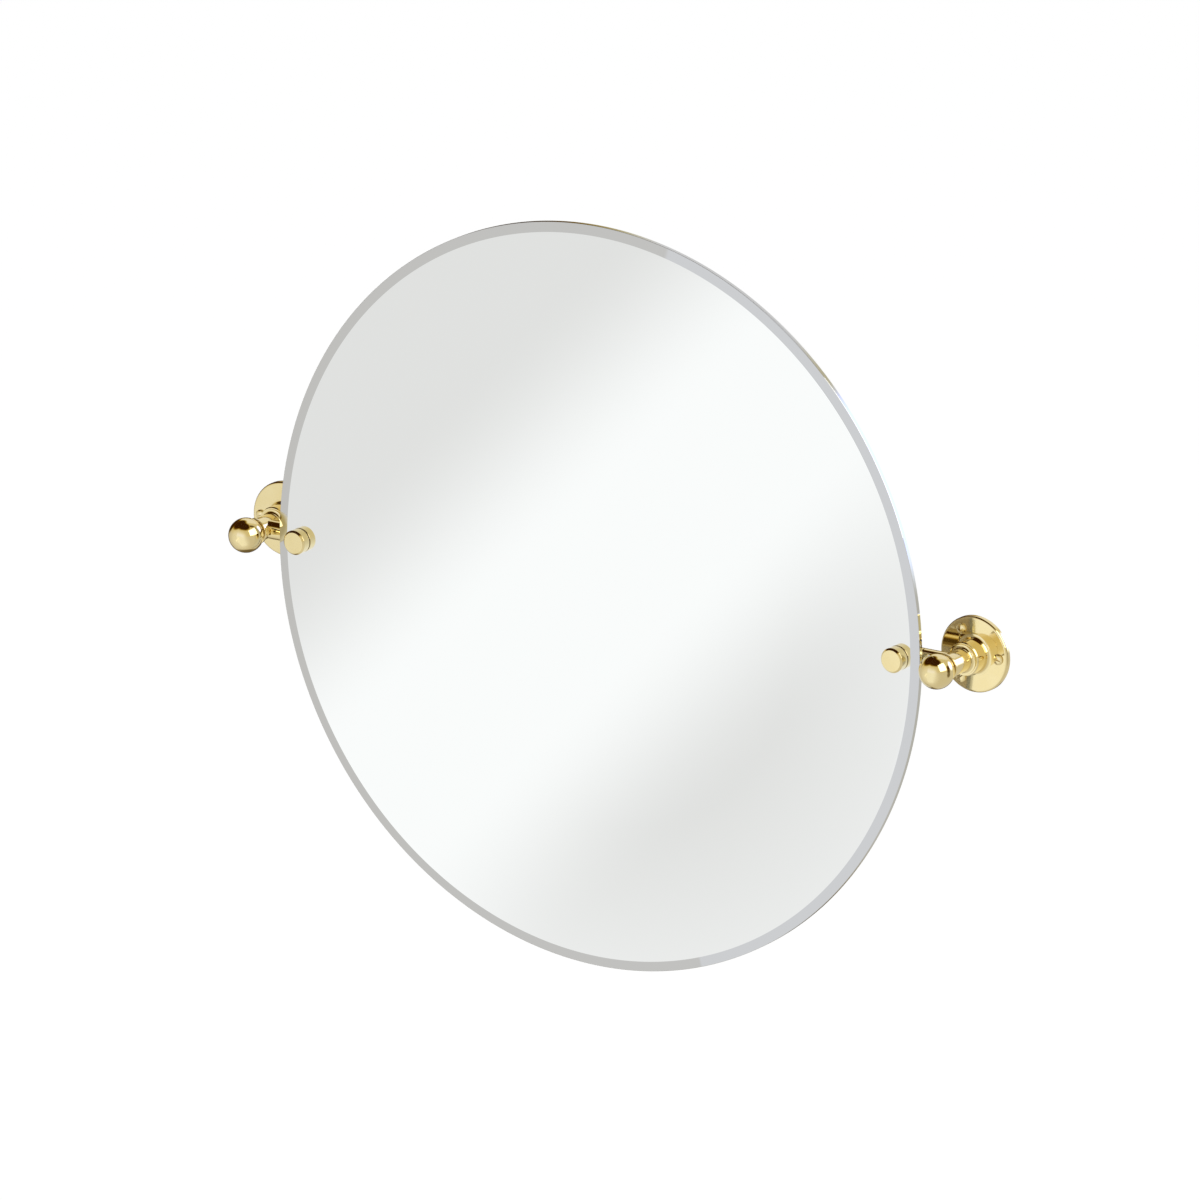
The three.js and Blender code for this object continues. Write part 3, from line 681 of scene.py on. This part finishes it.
def pivotEndPiece(label, side):
    radius, seat = arm["radius"], layout["seatDepth"]
    tip, face = side * pivotEnd["tip"], side * layout["pivotFace"]
    corners = [(0, tip), (radius, tip, pivotEnd["tipRound"]),
               (radius, face, pivotEnd["faceRound"]), (0, face)]
    piece = turnPiece("brass_pivot_" + label, corners, "brassArm", axis="arm")
    low, high = sorted((tip - side * past, face + side * past))
    pinLow, pinHigh = sorted((side * pivotEnd["pinHoleFrom"], face + side * past))
    combine(piece, [
        toolBlock((low, -seat - 2 * radius, -2 * radius), (high, -seat, 2 * radius)),
        toolBar(pivotEnd["pinHole"], pinLow, pinHigh, axis="arm"),
        toolBar(pivotEnd["studHole"], pivotEnd["studHoleFrom"], seat + past,
                across=side * layout["studAcross"])])
    finishPiece(piece, "mirror", "brassArm", ["pivot_end_" + label])


glassPiece()
for label, side in sides:
    knobPiece(label, side)
    knobWasherPiece(label, side)
    bushPiece(label, side)
    pivotEndPiece(label, side)
print("mirror done")


# CAD nodes that keep their own shape and get a finish.
keptNodes = {"mirror_backing": "backingFilm"}
for label, side in sides:
    for start in ("post_screw_", "pivot_pin_", "clamp_stud_"):
        keptNodes[start + label] = "zincSteel"
for name, finish in keptNodes.items():
    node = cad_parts[name]
    node.data.materials.clear()
    node.data.materials.append(finishes[finish])
print("kept nodes: %d" % len(keptNodes))


# Metres and degrees, with azimuth 0 straight in front of the mirror.
camera = {
    "azimuth": 34.05,
    "elevation": 16.95,
    "distance": 12.065,
    "lens": 466.1,
    "aimRight": 0.00412,
    "aimUp": -0.00105,
}
turnAngle, liftAngle = math.radians(camera["azimuth"]), math.radians(camera["elevation"])
towardCamera = Vector((math.sin(turnAngle) * math.cos(liftAngle), -math.cos(turnAngle) * math.cos(liftAngle),
                       math.sin(liftAngle)))
mirrorCentre = Vector((0, -layout["glassFront"] * mm, 0))


def makeCamera():
    lens = bpy.data.cameras.new("camera")
    lens.lens = camera["lens"]
    lens.sensor_width = 36.0
    lens.clip_start, lens.clip_end = 0.5, 200.0
    viewer = bpy.data.objects.new("camera", lens)
    scene.collection.objects.link(viewer)
    viewer.rotation_mode = "QUATERNION"
    turn = (-towardCamera).to_track_quat("-Z", "Y")
    right, up = turn @ Vector((1, 0, 0)), turn @ Vector((0, 1, 0))
    viewer.rotation_quaternion = turn
    viewer.location = (mirrorCentre + towardCamera * camera["distance"]
                       + right * camera["aimRight"] + up * camera["aimUp"])
    scene.camera = viewer


makeCamera()


studio = {
    "floorHeight": -1.2,
    "floorHalf": 40.0,
    "floorColour": (0.80, 0.80, 0.80),
    "floorLift": 0.42,
    "ambient": 0.72,
}

# What polished surfaces see round the object, as levels of light that turn warmer as they fall. Headings are
# in degrees from straight in front, positive to the right. Heights are degrees above the horizon.
room = {
    "level": 0.67,
    "glow": 0.87,
    "glowToward": (-14.0, -20.0),
    "glowInner": 18.0,
    "glowOuter": 74.0,
    "patch": 0.98,
    "patchHeadings": (-29.0, -28.75, 8.0, 42.0),
    "patchHeights": (-68.0, -50.0, 2.0, 38.0),
    "skyPowers": (1.0, 1.38, 3.0),
    "skyGains": (1.0, 1.04, 1.36),
    "floorPowers": (1.0, 1.17, 1.55),
    "floorGains": (0.97, 0.985, 1.029),
    "horizonFrom": -0.05,
    "horizonTo": 0.25,
}
roomZones = [
    {"toward": (-153.0, 42.0), "inner": 27.0, "outer": 38.0, "level": 0.85},
    {"toward": (-146.0, -17.0), "inner": 14.0, "outer": 46.0, "level": 0.07},
    {"toward": (-130.0, -58.0), "inner": 10.0, "outer": 26.0, "level": 0.16},
    {"toward": (-86.0, 54.0), "inner": 24.0, "outer": 39.0, "level": 0.036},
    {"toward": (-20.0, 72.0), "inner": 18.0, "outer": 32.0, "level": 0.036},
    {"toward": (30.0, 72.0), "inner": 16.0, "outer": 30.0, "level": 0.036},
    {"toward": (-112.0, 14.0), "inner": 14.0, "outer": 27.0, "level": 0.045},
    {"toward": (121.0, 17.0), "inner": 7.0, "outer": 15.0, "level": 0.07},
    {"toward": (116.0, 2.0), "inner": 7.0, "outer": 15.0, "level": 0.10},
    {"toward": (114.0, -13.0), "inner": 6.0, "outer": 15.0, "level": 0.20},
    {"toward": (149.0, 14.0), "inner": 12.0, "outer": 21.0, "level": 1.35},
]


def litByCamera(tree):
    path = addNode(tree, "ShaderNodeLightPath").outputs
    seen = maths(tree, "MAXIMUM", path["Is Camera Ray"], path["Is Transmission Ray"])
    return seen, path["Is Glossy Ray"]


def headingVector(heading, height):
    a, e = math.radians(heading), math.radians(height)
    return Vector((math.sin(a) * math.cos(e), -math.cos(a) * math.cos(e), math.sin(e)))


# Share of a soft round zone of the room, from the direction that the reflected ray takes.
def roundZone(tree, toward, heading, inner, outer):
    nearness = addNode(tree, "ShaderNodeVectorMath", {
        0: toward, 1: headingVector(*heading)}, operation="DOT_PRODUCT").outputs["Value"]
    return spread(tree, nearness, math.cos(math.radians(outer)), math.cos(math.radians(inner)), smooth=True)


def window(tree, value, limits):
    rise = spread(tree, value, limits[0], limits[1], smooth=True)
    fall = spread(tree, value, limits[2], limits[3], 1.0, 0.0, smooth=True)
    return maths(tree, "MULTIPLY", rise, fall)


def warmed(tree, level, powers, gains):
    tones = [maths(tree, "MULTIPLY", maths(tree, "POWER", level, p), g) for p, g in zip(powers, gains)]
    return addNode(tree, "ShaderNodeCombineColor", dict(enumerate(tones))).outputs[0]


def roomColour(tree, toward):
    parts = addNode(tree, "ShaderNodeSeparateXYZ", {0: toward}).outputs
    ahead = maths(tree, "MULTIPLY", parts["Y"], -1.0)
    heading = maths(tree, "DEGREES", maths(tree, "ARCTAN2", parts["X"], ahead))
    height = maths(tree, "DEGREES", maths(tree, "ARCSINE", parts["Z"]))
    glow = roundZone(tree, toward, room["glowToward"], room["glowInner"], room["glowOuter"])
    level = spread(tree, glow, 0.0, 1.0, room["level"], room["glow"])
    patch = maths(tree, "MULTIPLY", window(tree, heading, room["patchHeadings"]),
                  window(tree, height, room["patchHeights"]))
    level = spread(tree, patch, 0.0, 1.0, level, room["patch"])
    for zone in roomZones:
        share = roundZone(tree, toward, zone["toward"], zone["inner"], zone["outer"])
        level = spread(tree, share, 0.0, 1.0, level, zone["level"])
    aboveFloor = spread(tree, parts["Z"], room["horizonFrom"], room["horizonTo"], smooth=True)
    return blendColours(tree, aboveFloor, warmed(tree, level, room["floorPowers"], room["floorGains"]),
                        warmed(tree, level, room["skyPowers"], room["skyGains"]))


# One square face, lying flat at a height or standing across the depth.
def squareMesh(name, half, height=0.0, standing=False):
    corners = [(-half, -half), (half, -half), (half, half), (-half, half)]
    mesh = bpy.data.meshes.new(name)
    mesh.from_pydata([(x, 0, y) if standing else (x, y, height) for x, y in corners], [], [(0, 1, 2, 3)])
    return mesh


def makeFloor():
    mesh = squareMesh("floor", studio["floorHalf"], height=studio["floorHeight"])
    floor = bpy.data.objects.new("floor", mesh)
    scene.collection.objects.link(floor)
    material, tree = newMaterial("paleFloor")
    seen, glossy = litByCamera(tree)
    matt = addNode(tree, "ShaderNodeBsdfDiffuse", {"Color": (*studio["floorColour"], 1.0)}).outputs[0]
    lift = addNode(tree, "ShaderNodeEmission", {
        "Strength": maths(tree, "MULTIPLY", seen, studio["floorLift"])})
    toEye = addNode(tree, "ShaderNodeAddShader", {0: matt, 1: lift.outputs[0]}).outputs[0]
    place = addNode(tree, "ShaderNodeTexCoord").outputs["Object"]
    away = addNode(tree, "ShaderNodeVectorMath", {
        0: place, 1: mirrorCentre}, operation="SUBTRACT").outputs["Vector"]
    toward = addNode(tree, "ShaderNodeVectorMath", {0: away}, operation="NORMALIZE").outputs["Vector"]
    reflected = addNode(tree, "ShaderNodeEmission", {"Color": roomColour(tree, toward)}).outputs[0]
    above = addNode(tree, "ShaderNodeMixShader", {0: glossy, 1: toEye, 2: reflected}).outputs[0]
    below = addNode(tree, "ShaderNodeNewGeometry").outputs["Backfacing"]
    clear = addNode(tree, "ShaderNodeBsdfTransparent").outputs[0]
    surface = addNode(tree, "ShaderNodeMixShader", {0: below, 1: above, 2: clear}).outputs[0]
    addNode(tree, "ShaderNodeOutputMaterial", {"Surface": surface})
    mesh.materials.append(material)


def makeWorld():
    world = bpy.data.worlds.new("studio")
    scene.world = world
    world.use_nodes = True
    tree = world.node_tree
    tree.nodes.clear()
    seen, glossy = litByCamera(tree)
    toward = addNode(tree, "ShaderNodeTexCoord").outputs["Generated"]
    plain = blendColours(tree, seen, (studio["ambient"],) * 3, (1.0, 1.0, 1.0))
    colour = blendColours(tree, glossy, plain, roomColour(tree, toward))
    light = addNode(tree, "ShaderNodeBackground", {"Color": colour, "Strength": 1.0})
    addNode(tree, "ShaderNodeOutputWorld", {"Surface": light.outputs[0]})


softbox = {"toward": (80.0, 32.0), "distance": 2.2, "size": 1.6, "level": 2.0}


def makeSoftbox():
    light = bpy.data.lights.new("softboxRight", "AREA")
    light.shape = "SQUARE"
    light.size = softbox["size"]
    light.energy = softbox["level"] * math.pi * softbox["size"] ** 2
    holder = bpy.data.objects.new("softboxRight", light)
    scene.collection.objects.link(holder)
    toward = headingVector(*softbox["toward"])
    holder.location = mirrorCentre + toward * softbox["distance"]
    holder.rotation_mode = "QUATERNION"
    holder.rotation_quaternion = toward.to_track_quat("Z", "Y")
    holder.visible_camera = False


lightCard = {
    "depth": 1.6,
    "half": 0.75,
    "level": 1.078,
    "bandInner": 0.062,
    "bandOuter": 0.222,
    "bandOffset": 0.006,
    "rimFrom": 0.215,
    "rimTo": 0.36,
    "rimShare": 0.43,
    "rimSide": -0.14,
    "fadeFrom": 0.50,
    "fadeTo": 0.70,
}


# A soft bright band, with a fainter glow towards the card's lower right rim. Both are seen only as
# reflections, on a card that stands across the mirror's line of sight.
def makeLightCard():
    glance = Vector((-towardCamera.x, towardCamera.y, -towardCamera.z))
    centre = mirrorCentre + glance * ((lightCard["depth"] + mirrorCentre.y) / -glance.y)
    mesh = squareMesh("lightCard", lightCard["half"], standing=True)
    card = bpy.data.objects.new("lightCard", mesh)
    scene.collection.objects.link(card)
    card.location = centre
    material, tree = newMaterial("lightBand")
    place = addNode(tree, "ShaderNodeTexCoord").outputs["Object"]
    parts = addNode(tree, "ShaderNodeSeparateXYZ", {0: place}).outputs
    slant = maths(tree, "MULTIPLY", maths(tree, "SUBTRACT", parts["Z"], parts["X"]), math.sqrt(0.5))
    away = maths(tree, "ABSOLUTE", maths(tree, "SUBTRACT", slant, lightCard["bandOffset"]))
    band = spread(tree, away, lightCard["bandInner"], lightCard["bandOuter"], 1.0, 0.0, smooth=True)
    radius = addNode(tree, "ShaderNodeVectorMath", {0: place}, operation="LENGTH").outputs["Value"]
    rim = spread(tree, radius, lightCard["rimFrom"], lightCard["rimTo"], 0.0, lightCard["rimShare"])
    rimSide = spread(tree, slant, lightCard["rimSide"], 0.0, 1.0, 0.0, smooth=True)
    rim = maths(tree, "MULTIPLY", rim, rimSide)
    band = maths(tree, "MULTIPLY_ADD", rim, maths(tree, "SUBTRACT", 1.0, band), band)
    fade = spread(tree, radius, lightCard["fadeFrom"], lightCard["fadeTo"], 1.0, 0.0, smooth=True)
    glow = addNode(tree, "ShaderNodeEmission", {"Strength": lightCard["level"]}).outputs[0]
    clear = addNode(tree, "ShaderNodeBsdfTransparent").outputs[0]
    share = maths(tree, "MULTIPLY", band, fade)
    surface = addNode(tree, "ShaderNodeMixShader", {0: share, 1: clear, 2: glow})
    addNode(tree, "ShaderNodeOutputMaterial", {"Surface": surface.outputs[0]})
    mesh.materials.append(material)
    card.visible_camera = False
    card.visible_diffuse = False
    card.visible_transmission = False
    card.visible_shadow = False


makeFloor()
makeWorld()
makeSoftbox()
makeLightCard()
scene.view_settings.view_transform = "Standard"
print("studio done")
